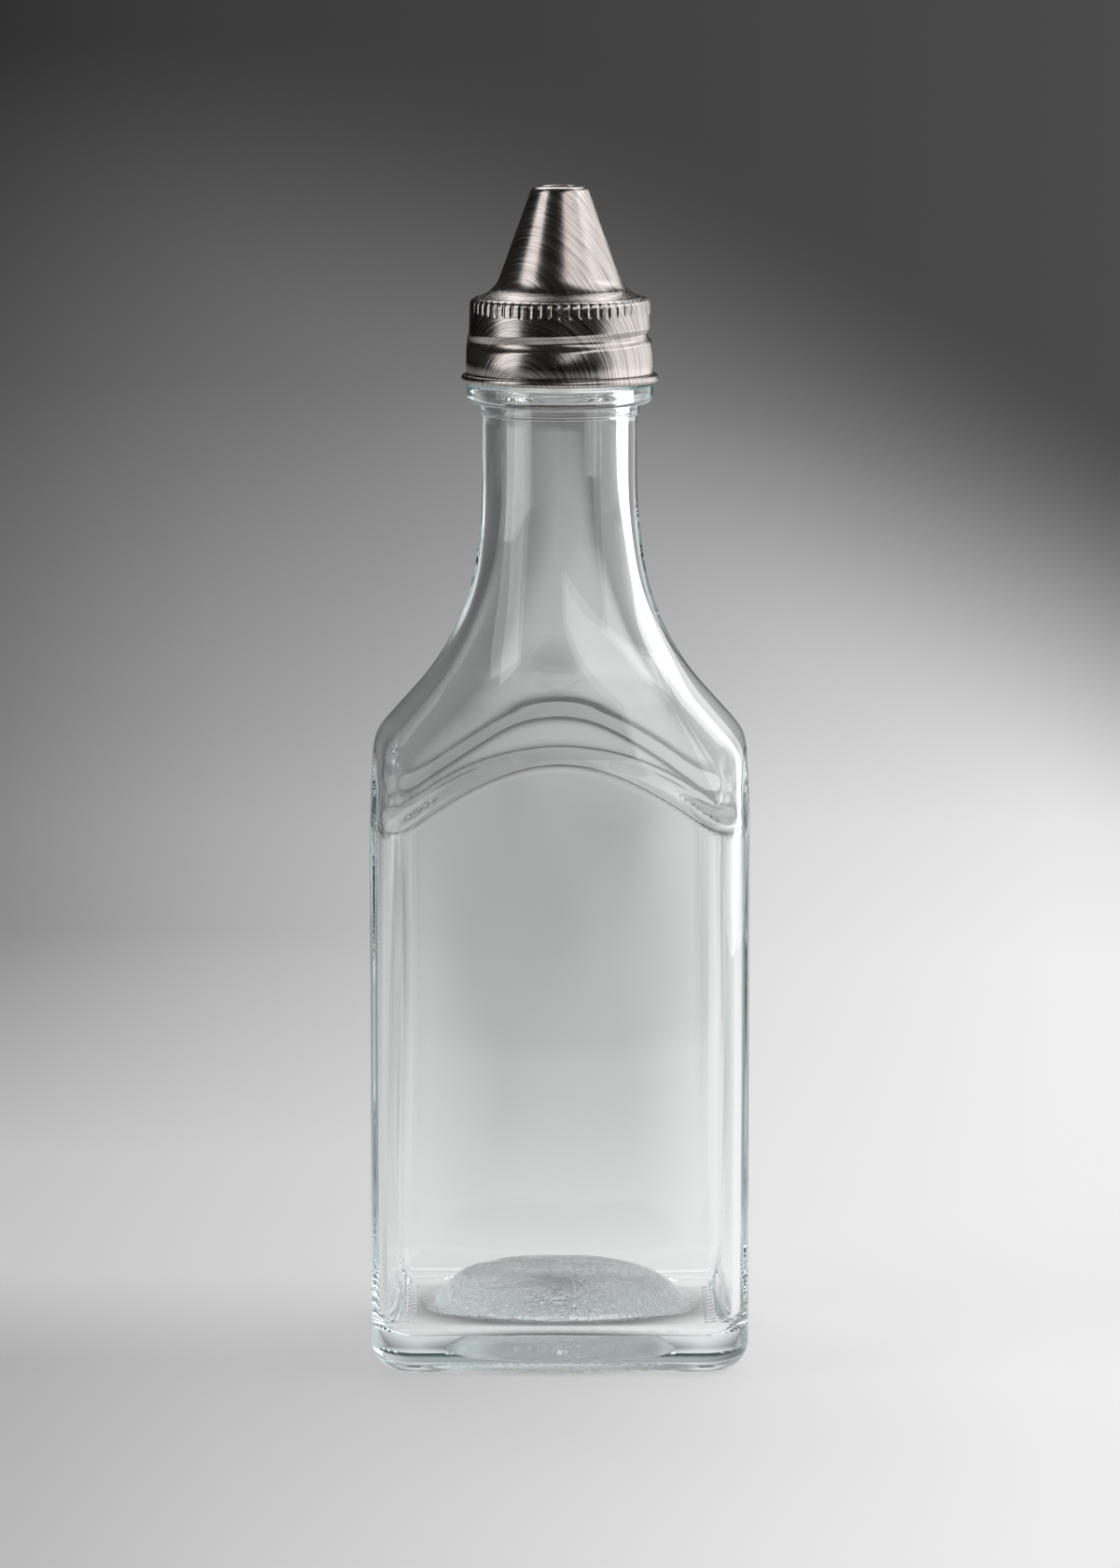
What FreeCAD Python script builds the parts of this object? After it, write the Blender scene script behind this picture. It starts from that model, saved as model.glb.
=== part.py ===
import FreeCAD, Part

import math
import os
import re

import Sketcher
from FreeCAD import Vector

# A square glass vinegar cruet with a pressed steel pourer cap.
# Frame: origin at the centre of the foot, on the table, +Z up, one flat face towards -Y.
# Lengths are in millimetres and angles in degrees.

SIZES = {
    # square body of the bottle
    "body_width": 60.0,        # across the flat faces
    "corner_radius": 7.2,      # upright corners, in plan
    "heel_radius": 5.0,        # where the faces turn under
    "arch_rounding": 3.5,      # where the faces meet the shoulder
    "wall": 2.4,               # flat walls
    "floor_thickness": 6.2,    # glass under the cavity, near the walls
    "cavity_corner": 9.0,      # upright corners of the cavity, in plan
    "cavity_heel": 6.5,        # round the cavity's floor
    "cavity_arch": 5.0,        # where the cavity's walls meet its shoulder
    "dome_margin": 4.1,        # from the cavity's heel in to the raised middle of its floor
    "dome_height": 1.6,
    "knurl_count": 13,         # short ridges along each side of the foot
    "knurl_margin": 3.3,       # from a corner to the row of ridges
    "knurl_width": 1.2,
    "knurl_height": 0.5,
    "knurl_length": 2.2,       # from the heel towards the punt
    "foot_margin": 2.3,        # plain foot between the ridges and the punt
    "punt_depth": 2.4,         # hollow under the foot
    # shoulder and neck
    "neck_inset": 0.2,         # how far the neck lies inside the finish
    "neck_wall": 2.85,         # neck and shoulder
    "neck_foot": 135.5,        # height at which the upright neck starts to spread
    "throat_drop": 19.43,      # from the neck's foot down to the shoulder
    "throat_angle": 7.5,       # spread of the throat, from upright
    "throat_sweep": 90.0,      # radius between neck and throat
    "shoulder_angle": 42.0,    # spread of the shoulder, from upright
    "shoulder_sweep": 40.0,    # radius between throat and shoulder
    # finish of the bottle, which carries the cap
    "neck_length": 16.85,      # from the neck's foot up to the ring
    "collar_proud": 0.35,      # low collar under the ring
    "collar_height": 1.85,
    "ring_proud": 2.3,
    "ring_height": 3.0,
    "ring_underside": 1.3,     # rounding of the ring's lower edge
    "ring_edge": 0.4,          # rounding of its upper edge
    "finish_radius": 12.55,
    "finish_height": 13.7,     # from the ring's top up to the lip
    "lip_rounding": 0.7,
    "thread_height": 1.25,
    "thread_width": 1.7,       # at the foot of the thread
    "thread_crest": 0.6,       # width of its top
    "thread_pitch": 3.175,
    "thread_turns": 1.1,
    "thread_root": 0.3,        # how far the thread's foot is let into the wall
    # pressed cap
    "sheet": 0.4,
    "seat_gap": 0.05,          # between the lip and the cap's top
    "ring_gap": 0.4,           # between the ring and the cap's rim
    "thread_gap": 0.15,        # between the thread and the cap's skirt, at its top
    "skirt_flare": 0.5,        # how much wider the skirt is at its rim
    "curl_radius": 0.65,       # rolled rim
    "curl_gap": 0.06,          # between the end of the roll and the skirt
    "top_slope": 10.5,         # fall of the cap's top, from level
    "top_rounding": 1.2,       # between the cap's top and its skirt
    "spout_inset": 1.25,       # from the seat on the lip in to the spout
    "spout_tip_radius": 4.4,
    "spout_height": 17.12,
    "spout_sweep": 2.0,        # radius between the spout and the cap's top
    "tip_rounding": 1.3,
    "hole_radius": 2.9,
    "groove_rise": 6.05,       # from the cap's rim up to the start of the groove
    "groove_depth": 0.7,
    "groove_width": 2.0,
    "groove_turns": 0.9,
    "groove_lead": 1.6,        # from the groove up to the glass thread that it grips
    "flute_count": 56,
    "flute_length": 2.4,       # from the skirt's top down
    "flute_width": 0.55,
    "flute_depth": 0.15,       # at the middle of its length
}

# Places and sizes that follow from the ones above, as expressions.
HALF = "(body_width / 2)"
BLANK = "(body_width * 0.75)"                # turned blank, wider than the square's corners
CAVITY_HALF = "(body_width / 2 - wall)"
DOME_RADIUS = f"({CAVITY_HALF} - cavity_heel - dome_margin)"
KNURL_REACH = f"({HALF} - heel_radius - knurl_length)"
KNURL_PITCH = "((body_width - 2 * (corner_radius + knurl_margin)) / knurl_count)"
PUNT_RADIUS = f"({KNURL_REACH} - foot_margin)"
NECK_RADIUS = "(finish_radius - neck_inset)"
BORE = f"({NECK_RADIUS} - neck_wall)"
THROAT_FOOT = "(neck_foot - throat_drop)"
THROAT_RADIUS = f"({NECK_RADIUS} + throat_drop * tan(throat_angle))"
RING_FOOT = "(neck_foot + neck_length)"
RING_TOP = f"({RING_FOOT} + ring_height)"
RING_RADIUS = "(finish_radius + ring_proud)"
LIP = f"({RING_TOP} + finish_height)"
THREAD_RADIUS = "(finish_radius + thread_height)"
RIM = f"({RING_TOP} + ring_gap)"
CURL_HEIGHT = f"({RIM} + curl_radius)"
SKIRT_TOP_RADIUS = f"({THREAD_RADIUS} + thread_gap + sheet)"
SKIRT_RIM_RADIUS = f"({SKIRT_TOP_RADIUS} + skirt_flare)"
CURL_CENTRE = f"({SKIRT_RIM_RADIUS} - sheet + curl_radius)"
SEAT_RADIUS = "(finish_radius - lip_rounding)"
SPOUT_RADIUS = f"({SEAT_RADIUS} - spout_inset)"
SPOUT_FOOT = f"({LIP} + seat_gap + sheet / cos(top_slope) + spout_inset * tan(top_slope))"
SKIRT_TOP = f"({SPOUT_FOOT} - ({SKIRT_TOP_RADIUS} - {SPOUT_RADIUS}) * tan(top_slope))"
TIP = f"({SPOUT_FOOT} + spout_height)"
GROOVE_HEIGHT = f"({RIM} + groove_rise)"
SKIRT_AT_GROOVE = (
    f"({SKIRT_RIM_RADIUS} - skirt_flare * groove_rise / ({SKIRT_TOP} - {RIM}))"
)
GROOVE_ROUND = "((groove_width ^ 2 / 4 + groove_depth ^ 2) / (2 * groove_depth))"
GROOVE_CENTRE = f"({SKIRT_AT_GROOVE} - groove_depth + {GROOVE_ROUND})"
FLUTE_ROUND = "((flute_width ^ 2 / 4 + flute_depth ^ 2) / (2 * flute_depth))"
SKIRT_AT_FLUTE = (
    f"({SKIRT_TOP_RADIUS} + skirt_flare * flute_length / 2 / ({SKIRT_TOP} - {RIM}))"
)
FLUTE_CENTRE = f"({SKIRT_AT_FLUTE} - flute_depth + {FLUTE_ROUND})"

ZERO = "0"                     # a coordinate on one of a sketch's axes
START, END, CENTRE = 1, 2, 3   # the points of a line or an arc in a sketch
H_AXIS, V_AXIS = -1, -2        # a sketch's own axes
NEAR = 1e-3

doc = FreeCAD.newDocument("VinegarCruet")


def sized(expression):
    """The expression with the sheet's name before each of its sizes."""
    names = "|".join(sorted(SIZES, key=len, reverse=True))
    return re.sub(rf"\b({names})\b", r"Sizes.\1", expression)


def value(expression):
    """What an expression comes to with the sheet as it is."""
    return float(doc.Sizes.evalExpression(sized(expression)))


def add_sheet():
    """Puts every size in a cell that has the size's own name."""
    sheet = doc.addObject("Spreadsheet::Sheet", "Sizes")
    for row, (name, size) in enumerate(SIZES.items(), start=1):
        sheet.set(f"A{row}", name)
        sheet.set(f"B{row}", str(size))
        sheet.setAlias(f"B{row}", name)
    doc.recompute()


# ---------------------------------------------------------------- sketches

def origin_feature(body, role):
    """The plane or axis of the body's own origin that has the role."""
    return next(item for item in body.Origin.OriginFeatures if item.Role == role)


def add_sketch(body, name, role, height=ZERO):
    """A sketch on one of the body's origin planes, lifted along its normal."""
    sketch = body.newObject("Sketcher::SketchObject", name)
    sketch.AttachmentSupport = [(origin_feature(body, role), "")]
    sketch.MapMode = "FlatFace"
    sketch.setExpression("AttachmentOffset.Base.z", sized(height))
    doc.recompute()
    return sketch


def bind(sketch, constraint, expression):
    """Adds a constraint whose size follows an expression."""
    index = sketch.addConstraint(constraint)
    sketch.setExpression(f"Constraints[{index}]", sized(expression))


def pin(sketch, item, point, across, up):
    """Holds a point of a sketch at expressions for its two coordinates."""
    for kind, expression, axis in (("DistanceX", across, V_AXIS), ("DistanceY", up, H_AXIS)):
        if expression == ZERO:
            sketch.addConstraint(Sketcher.Constraint("PointOnObject", item, point, axis))
        else:
            bind(sketch, Sketcher.Constraint(kind, item, point, value(expression)), expression)


def spot(across, up):
    """The point at two expressions."""
    return Vector(value(across), value(up), 0)


def add_polygon(sketch, corners):
    """A closed outline of straight lines with every corner pinned."""
    followers = corners[1:] + corners[:1]
    for start, end in zip(corners, followers):
        sketch.addGeometry(Part.LineSegment(spot(*start), spot(*end)))
    for line, corner in enumerate(corners):
        following = (line + 1) % len(corners)
        sketch.addConstraint(Sketcher.Constraint("Coincident", line, END, following, START))
        pin(sketch, line, START, *corner)


def add_circle(sketch, across, up, radius):
    """A circle with its centre and radius held."""
    circle = sketch.addGeometry(Part.Circle(spot(across, up), Vector(0, 0, 1), value(radius)))
    pin(sketch, circle, CENTRE, across, up)
    bind(sketch, Sketcher.Constraint("Radius", circle, value(radius)), radius)


def add_arc(sketch, across, up, radius, start, end):
    """An arc with its centre and radius held, between two angles."""
    circle = Part.Circle(spot(across, up), Vector(0, 0, 1), value(radius))
    arc = sketch.addGeometry(Part.ArcOfCircle(circle, math.radians(start), math.radians(end)))
    pin(sketch, arc, CENTRE, across, up)
    bind(sketch, Sketcher.Constraint("Radius", arc, value(radius)), radius)
    return arc


def join(sketch, first, first_point, second, second_point):
    """A straight line from one point of a sketch to another."""
    ends = sketch.getPoint(first, first_point), sketch.getPoint(second, second_point)
    line = sketch.addGeometry(Part.LineSegment(*ends))
    sketch.addConstraint(Sketcher.Constraint("Coincident", line, START, first, first_point))
    sketch.addConstraint(Sketcher.Constraint("Coincident", line, END, second, second_point))
    return line


def add_rounded_square(sketch, half, radius):
    """A square about the origin with rounded corners."""
    inset = f"({half} - {radius})"
    signs = (("", ""), ("-", ""), ("-", "-"), ("", "-"))
    arcs = [
        add_arc(sketch, x_sign + inset, y_sign + inset, radius, 90 * quarter, 90 * quarter + 90)
        for quarter, (x_sign, y_sign) in enumerate(signs)
    ]
    for quarter, arc in enumerate(arcs):
        following = arcs[(quarter + 1) % 4]
        ends = sketch.getPoint(arc, END), sketch.getPoint(following, START)
        side = sketch.addGeometry(Part.LineSegment(*ends))
        sketch.addConstraint(Sketcher.Constraint("Tangent", arc, END, side, START))
        sketch.addConstraint(Sketcher.Constraint("Tangent", side, END, following, START))


def add_low_dome(sketch, radius, base, height):
    """Half the section of a low dome that stands on a level base about the axis."""
    sphere = value(f"(({radius}) ^ 2 + ({height}) ^ 2) / (2 * ({height}))")
    circle = Part.Circle(spot(ZERO, f"{base} + {height}"), Vector(0, 0, 1), sphere)
    circle.Center = circle.Center - Vector(0, sphere, 0)
    edge_angle = math.acos(value(radius) / sphere)
    arc = sketch.addGeometry(Part.ArcOfCircle(circle, edge_angle, math.pi / 2))
    sketch.addConstraint(Sketcher.Constraint("PointOnObject", arc, CENTRE, V_AXIS))
    pin(sketch, arc, START, radius, base)
    pin(sketch, arc, END, ZERO, f"{base} + {height}")
    foot = sketch.addGeometry(Part.LineSegment(spot(ZERO, base), spot(radius, base)))
    pin(sketch, foot, START, ZERO, base)
    sketch.addConstraint(Sketcher.Constraint("Coincident", foot, END, arc, START))
    join(sketch, arc, END, foot, START)


# ---------------------------------------------------------------- features

def add_turned(body, sketch, kind="Revolution"):
    """Turns a sketch all round the upright axis, to add or to cut away."""
    feature = body.newObject(f"PartDesign::{kind}", f"{sketch.Name}Turned")
    feature.Profile = sketch
    feature.ReferenceAxis = (sketch, ["V_Axis"])
    feature.Angle = 360
    doc.recompute()


def add_pocket(body, name, sketch, depth, upwards):
    """Cuts a sketch through the body, up or down from its plane."""
    volume = body.Shape.Volume
    pocket = body.newObject("PartDesign::Pocket", name)
    pocket.Profile = sketch
    pocket.setExpression("Length", sized(depth))
    pocket.Reversed = upwards
    doc.recompute()
    if body.Shape.Volume > volume - NEAR:
        raise ValueError(f"{name} cuts nothing")
    return pocket


def add_helix(body, name, sketch, kind, turns):
    """Sweeps a sketch along the thread's helix, right-handed and rising."""
    helix = body.newObject(f"PartDesign::{kind}Helix", name)
    helix.Profile = sketch
    helix.ReferenceAxis = (sketch, ["V_Axis"])
    helix.Mode = "pitch-turns-angle"
    helix.setExpression("Pitch", sized("thread_pitch"))
    helix.setExpression("Turns", sized(turns))
    doc.recompute()


def round_edges(body, name, radius, chosen):
    """Rounds the edges of the body's last feature that the test picks."""
    base = body.Tip
    edges = [f"Edge{k}" for k, edge in enumerate(base.Shape.Edges, start=1) if chosen(edge)]
    if not edges:
        raise ValueError(f"{name} finds no edge")
    fillet = body.newObject("PartDesign::Fillet", name)
    fillet.Base = (base, edges)
    fillet.setExpression("Radius", sized(radius))
    doc.recompute()


def repeat_round(body, name, features, count):
    """Repeats features round the upright axis."""
    pattern = body.newObject("PartDesign::PolarPattern", name)
    pattern.Originals = features
    pattern.Axis = (origin_feature(body, "Z_Axis"), [""])
    pattern.Angle = 360
    pattern.setExpression("Occurrences", sized(count))
    body.Tip = pattern
    doc.recompute()


def circle_at(radius, height):
    """A test for the level circle of that radius and height about the axis."""
    wanted, level = value(radius), value(height)

    def test(edge):
        curve = edge.Curve
        if not isinstance(curve, Part.Circle):
            return False
        return abs(curve.Radius - wanted) < NEAR and abs(curve.Center.z - level) < NEAR

    return test


def level_at(height):
    """A test for the edges that lie level at a height."""
    level = value(height)

    def test(edge):
        box = edge.BoundBox
        return abs(box.ZMin - level) < NEAR and abs(box.ZMax - level) < NEAR

    return test


def is_arch(edge):
    """True on an edge where an upright face or corner meets the shoulder."""
    return not isinstance(edge.Curve, (Part.Line, Part.Circle))


# ---------------------------------------------------------------- bottle

def square_off(body, name, half, radius):
    """Cuts a turned blank to a square with rounded corners, up to the neck's foot."""
    plan = add_sketch(body, f"{name}Plan", "XY_Plane")
    add_circle(plan, ZERO, ZERO, "body_width")
    add_rounded_square(plan, half, radius)
    add_pocket(body, name, plan, "neck_foot", upwards=True)


def add_thread(body):
    """The raised thread that holds the cap."""
    thread = add_sketch(body, "Thread", "XZ_Plane")
    level = f"({GROOVE_HEIGHT} + groove_lead)"
    root = "-(finish_radius - thread_root)"
    crest = f"-{THREAD_RADIUS}"
    add_polygon(thread, [
        (root, f"{level} - thread_width / 2"),
        (root, f"{level} + thread_width / 2"),
        (crest, f"{level} + thread_crest / 2"),
        (crest, f"{level} - thread_crest / 2"),
    ])
    add_helix(body, "ThreadRidge", thread, "Additive", "thread_turns")


def add_knurls(body):
    """Notches the foot's outer edge, so that a row of short ridges is left on each side."""
    notch = add_sketch(body, "Notch", "XY_Plane")
    middle = f"-({KNURL_PITCH} * knurl_count / 2)"
    gap = f"(({KNURL_PITCH} - knurl_width) / 2)"
    add_polygon(notch, [
        (f"{middle} - {gap}", f"-{HALF}"),
        (f"{middle} + {gap}", f"-{HALF}"),
        (f"{middle} + {gap}", f"-{KNURL_REACH}"),
        (f"{middle} - {gap}", f"-{KNURL_REACH}"),
    ])
    first = add_pocket(body, "FirstNotch", notch, "knurl_height", upwards=True)
    pattern = body.newObject("PartDesign::MultiTransform", "Knurls")
    row = body.newObject("PartDesign::LinearPattern", "KnurlRow")
    row.Direction = (origin_feature(body, "X_Axis"), [""])
    row.setExpression("Length", sized(f"{KNURL_PITCH} * knurl_count"))
    row.setExpression("Occurrences", sized("knurl_count + 1"))
    sides = body.newObject("PartDesign::PolarPattern", "KnurlSides")
    sides.Axis = (origin_feature(body, "Z_Axis"), [""])
    sides.Angle = 360
    sides.Occurrences = 4
    pattern.Originals = [first]
    pattern.Transformations = [row, sides]
    body.Tip = pattern
    doc.recompute()


def make_form():
    """The bottle's outside, as a full solid."""
    body = doc.addObject("PartDesign::Body", "BottleForm")
    collar = f"({NECK_RADIUS} + collar_proud)"
    outline = add_sketch(body, "Form", "XZ_Plane")
    add_polygon(outline, [
        (ZERO, ZERO),
        (BLANK, ZERO),
        (BLANK, f"{THROAT_FOOT} - ({BLANK} - {THROAT_RADIUS}) / tan(shoulder_angle)"),
        (THROAT_RADIUS, THROAT_FOOT),
        (NECK_RADIUS, "neck_foot"),
        (NECK_RADIUS, f"{RING_FOOT} - collar_height"),
        (collar, f"{RING_FOOT} - collar_height"),
        (collar, RING_FOOT),
        (RING_RADIUS, RING_FOOT),
        (RING_RADIUS, RING_TOP),
        ("finish_radius", RING_TOP),
        ("finish_radius", LIP),
        (ZERO, LIP),
    ])
    add_turned(body, outline)
    round_edges(body, "ThroatSweep", "throat_sweep", circle_at(NECK_RADIUS, "neck_foot"))
    round_edges(body, "ShoulderSweep", "shoulder_sweep", circle_at(THROAT_RADIUS, THROAT_FOOT))
    square_off(body, "Faces", HALF, "corner_radius")
    round_edges(body, "Arches", "arch_rounding", is_arch)
    round_edges(body, "Heel", "heel_radius", level_at(ZERO))
    round_edges(body, "RingUnderside", "ring_underside", circle_at(RING_RADIUS, RING_FOOT))
    round_edges(body, "RingEdge", "ring_edge", circle_at(RING_RADIUS, RING_TOP))
    round_edges(body, "Lip", "lip_rounding", circle_at("finish_radius", LIP))
    punt = add_sketch(body, "Punt", "XZ_Plane")
    add_low_dome(punt, PUNT_RADIUS, ZERO, "punt_depth")
    add_turned(body, punt, "Groove")
    add_thread(body)
    add_knurls(body)
    return body


def make_cavity():
    """The space inside the bottle, as a solid that reaches out of its mouth."""
    body = doc.addObject("PartDesign::Body", "BottleCavity")
    mean = "((throat_angle + shoulder_angle) / 2)"
    spread = "(neck_wall / cos((shoulder_angle - throat_angle) / 2))"
    throat_radius = f"({THROAT_RADIUS} - {spread} * cos({mean}))"
    throat_foot = f"({THROAT_FOOT} - {spread} * sin({mean}))"
    neck_foot = "(neck_foot - neck_wall * tan(throat_angle / 2))"
    mouth = f"({BORE} + lip_rounding)"
    outline = add_sketch(body, "Cavity", "XZ_Plane")
    add_polygon(outline, [
        (ZERO, "floor_thickness"),
        (BLANK, "floor_thickness"),
        (BLANK, f"{throat_foot} - ({BLANK} - {throat_radius}) / tan(shoulder_angle)"),
        (throat_radius, throat_foot),
        (BORE, neck_foot),
        (BORE, f"{LIP} - lip_rounding"),
        (mouth, LIP),
        (mouth, f"{LIP} + sheet"),
        (ZERO, f"{LIP} + sheet"),
    ])
    add_turned(body, outline)
    round_edges(body, "CavityThroat", "throat_sweep + neck_wall", circle_at(BORE, neck_foot))
    round_edges(
        body, "CavityShoulder", "shoulder_sweep + neck_wall", circle_at(throat_radius, throat_foot)
    )
    square_off(body, "CavityWalls", CAVITY_HALF, "cavity_corner")
    round_edges(body, "CavityArches", "cavity_arch", is_arch)
    round_edges(body, "CavityHeel", "cavity_heel", level_at("floor_thickness"))
    dome = add_sketch(body, "FloorDome", "XZ_Plane")
    add_low_dome(dome, DOME_RADIUS, "floor_thickness", "dome_height")
    add_turned(body, dome, "Groove")
    return body


def make_bottle():
    """The glass bottle: its form less its cavity."""
    bottle = doc.addObject("Part::Cut", "GlassBottle")
    bottle.Base = make_form()
    bottle.Tool = make_cavity()
    bottle.Label = "glass_bottle"
    doc.recompute()
    return bottle


# ---------------------------------------------------------------- cap

def add_curl(body):
    """Rolls the skirt's rim outwards and back, almost to the skirt."""
    opening = math.degrees(math.acos(value(
        f"({SKIRT_RIM_RADIUS} + curl_gap - {CURL_CENTRE}) / curl_radius"
    )))
    curl = add_sketch(body, "Curl", "XZ_Plane")
    around = 180, 360 + opening
    outside = add_arc(curl, CURL_CENTRE, CURL_HEIGHT, "curl_radius", *around)
    inside = add_arc(curl, CURL_CENTRE, CURL_HEIGHT, "curl_radius - sheet", *around)
    start = join(curl, outside, START, inside, START)
    end = join(curl, outside, END, inside, END)
    curl.addConstraint(Sketcher.Constraint("Horizontal", start))
    curl.addConstraint(Sketcher.Constraint("PointOnObject", outside, CENTRE, start))
    curl.addConstraint(Sketcher.Constraint("PointOnObject", outside, CENTRE, end))
    edge = f"{SKIRT_RIM_RADIUS} + curl_gap"
    bind(curl, Sketcher.Constraint("DistanceX", outside, END, value(edge)), edge)
    add_turned(body, curl)


def add_groove(body):
    """Presses the helical groove in from outside, with its ridge on the inside."""
    ridge = add_sketch(body, "Ridge", "XZ_Plane")
    rounding = f"({GROOVE_ROUND} + sheet)"
    root = f"({SKIRT_AT_GROOVE} - sheet / 2)"
    half_angle = math.degrees(math.acos(value(f"({GROOVE_CENTRE} - {root}) / {rounding}")))
    arc = add_arc(ridge, f"-{GROOVE_CENTRE}", GROOVE_HEIGHT, rounding, -half_angle, half_angle)
    chord = join(ridge, arc, START, arc, END)
    ridge.addConstraint(Sketcher.Constraint("Vertical", chord))
    bind(ridge, Sketcher.Constraint("DistanceX", chord, START, value(f"-{root}")), f"-{root}")
    add_helix(body, "GrooveRidge", ridge, "Additive", "groove_turns")
    groove = add_sketch(body, "Groove", "XZ_Plane")
    add_circle(groove, f"-{GROOVE_CENTRE}", GROOVE_HEIGHT, GROOVE_ROUND)
    add_helix(body, "PressedGroove", groove, "Subtractive", "groove_turns")


def make_cap():
    """The cap: a conical spout on a threaded skirt, pressed from one sheet."""
    body = doc.addObject("PartDesign::Body", "SteelCap")
    body.Label = "steel_cap"
    outline = add_sketch(body, "Cap", "XZ_Plane")
    add_polygon(outline, [
        (ZERO, CURL_HEIGHT),
        (SKIRT_RIM_RADIUS, CURL_HEIGHT),
        (SKIRT_TOP_RADIUS, SKIRT_TOP),
        (SPOUT_RADIUS, SPOUT_FOOT),
        ("spout_tip_radius", TIP),
        (ZERO, TIP),
    ])
    add_turned(body, outline)
    round_edges(body, "TopRounding", "top_rounding", circle_at(SKIRT_TOP_RADIUS, SKIRT_TOP))
    round_edges(body, "SpoutSweep", "spout_sweep", circle_at(SPOUT_RADIUS, SPOUT_FOOT))
    round_edges(body, "TipRounding", "tip_rounding", circle_at("spout_tip_radius", TIP))

    base = body.Tip
    level = value(CURL_HEIGHT)
    underside = next(
        f"Face{k}" for k, face in enumerate(base.Shape.Faces, start=1)
        if abs(face.BoundBox.ZMax - level) < NEAR
    )
    shell = body.newObject("PartDesign::Thickness", "Sheet")
    shell.Base = (base, [underside])
    shell.setExpression("Value", sized("sheet"))
    shell.Reversed = True
    doc.recompute()

    add_curl(body)
    add_groove(body)
    hole = add_sketch(body, "Hole", "XY_Plane", TIP)
    add_circle(hole, ZERO, ZERO, "hole_radius")
    add_pocket(body, "PourHole", hole, "2 * sheet", upwards=False)
    flute = add_sketch(body, "Flute", "XY_Plane", f"{SKIRT_TOP} - flute_length")
    add_circle(flute, f"-{FLUTE_CENTRE}", ZERO, FLUTE_ROUND)
    first = add_pocket(body, "FirstFlute", flute, "flute_length", upwards=True)
    repeat_round(body, "Flutes", [first], "flute_count")
    return body


# ---------------------------------------------------------------- output

def check(parts):
    """Stops unless every object is computed and every part is one valid solid."""
    failed = [item.Name for item in doc.Objects if {"Invalid", "Error"} & set(item.State)]
    if failed:
        raise RuntimeError(f"objects not computed: {failed}")
    for part in parts:
        shape = part.Shape
        if shape.isNull() or not shape.isValid() or len(shape.Solids) != 1:
            raise RuntimeError(f"{part.Label} isn't one valid solid")


def write(parts):
    """Writes each part to a STEP file that has the part's name."""
    os.makedirs("parts", exist_ok=True)
    for part in parts:
        part.Shape.exportStep(f"parts/{part.Label}.step")
        box = part.Shape.BoundBox
        print(f"{part.Label}: {part.Shape.Volume:.0f} mm3, z {box.ZMin:.2f} to {box.ZMax:.2f}")


add_sheet()
made = [make_bottle(), make_cap()]
check(made)
write(made)
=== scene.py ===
"""Looks of an empty square vinegar cruet with a brushed steel pouring cap."""

import logging
import math
from dataclasses import dataclass
from enum import Enum
from typing import NamedTuple

import bpy
import numpy as np
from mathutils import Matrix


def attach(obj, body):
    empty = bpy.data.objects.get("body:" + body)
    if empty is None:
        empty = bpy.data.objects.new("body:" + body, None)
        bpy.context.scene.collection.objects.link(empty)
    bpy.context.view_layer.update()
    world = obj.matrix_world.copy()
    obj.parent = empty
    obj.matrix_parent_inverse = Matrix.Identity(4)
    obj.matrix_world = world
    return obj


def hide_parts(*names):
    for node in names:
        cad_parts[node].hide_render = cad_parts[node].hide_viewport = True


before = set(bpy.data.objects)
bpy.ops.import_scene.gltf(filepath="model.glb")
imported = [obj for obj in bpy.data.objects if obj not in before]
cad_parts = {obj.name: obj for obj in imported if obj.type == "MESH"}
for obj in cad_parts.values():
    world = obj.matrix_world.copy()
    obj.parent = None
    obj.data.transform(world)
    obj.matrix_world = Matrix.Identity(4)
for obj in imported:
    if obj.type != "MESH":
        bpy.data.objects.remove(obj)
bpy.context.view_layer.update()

LOG = logging.getLogger("cruet")
MM = 0.001
FULL_TURN = 2 * math.pi
QUARTER_TURN = math.pi / 2

Socket = bpy.types.NodeSocket
Span = tuple[float, float]
Colour = tuple[float, float, float]
WHITE: Colour = (1.0, 1.0, 1.0)
# The Mix node repeats its sockets' names for each data type, so these are found by number.
MIX_SHARE, MIX_FIRST, MIX_SECOND, MIX_RESULT = 0, 6, 7, 2


class Slot(Enum):
    """The record's material slots."""

    GLASS = "clear_glass"
    STEEL = "brushed_cap"


class Node(Enum):
    """The solids that the pieces stand for."""

    BOTTLE = "glass_bottle"
    CAP = "steel_cap"


# ---------------------------------------------------------------- outlines


@dataclass(frozen=True)
class Bend:
    """A corner of an outline, in millimetres.

    Attributes:
        out: distance from the upright axis.
        up: height above the table.
        rounding: radius that the corner is rounded with.
        run: spacing of points on the straight run that follows.
        curve: spacing of points round the corner.
    """

    out: float
    up: float
    rounding: float = 0.0
    run: float = 1.0
    curve: float = 0.5


def unit(vector: np.ndarray) -> np.ndarray:
    """The vector at a length of one."""
    return vector / np.linalg.norm(vector)


def spaced(start: np.ndarray, end: np.ndarray, step: float) -> list[np.ndarray]:
    """Points from start up to but not including end, about a step apart."""
    count = max(1, math.ceil(np.linalg.norm(end - start) / step - 1e-6))
    return [start + (end - start) * k / count for k in range(count)]


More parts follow.
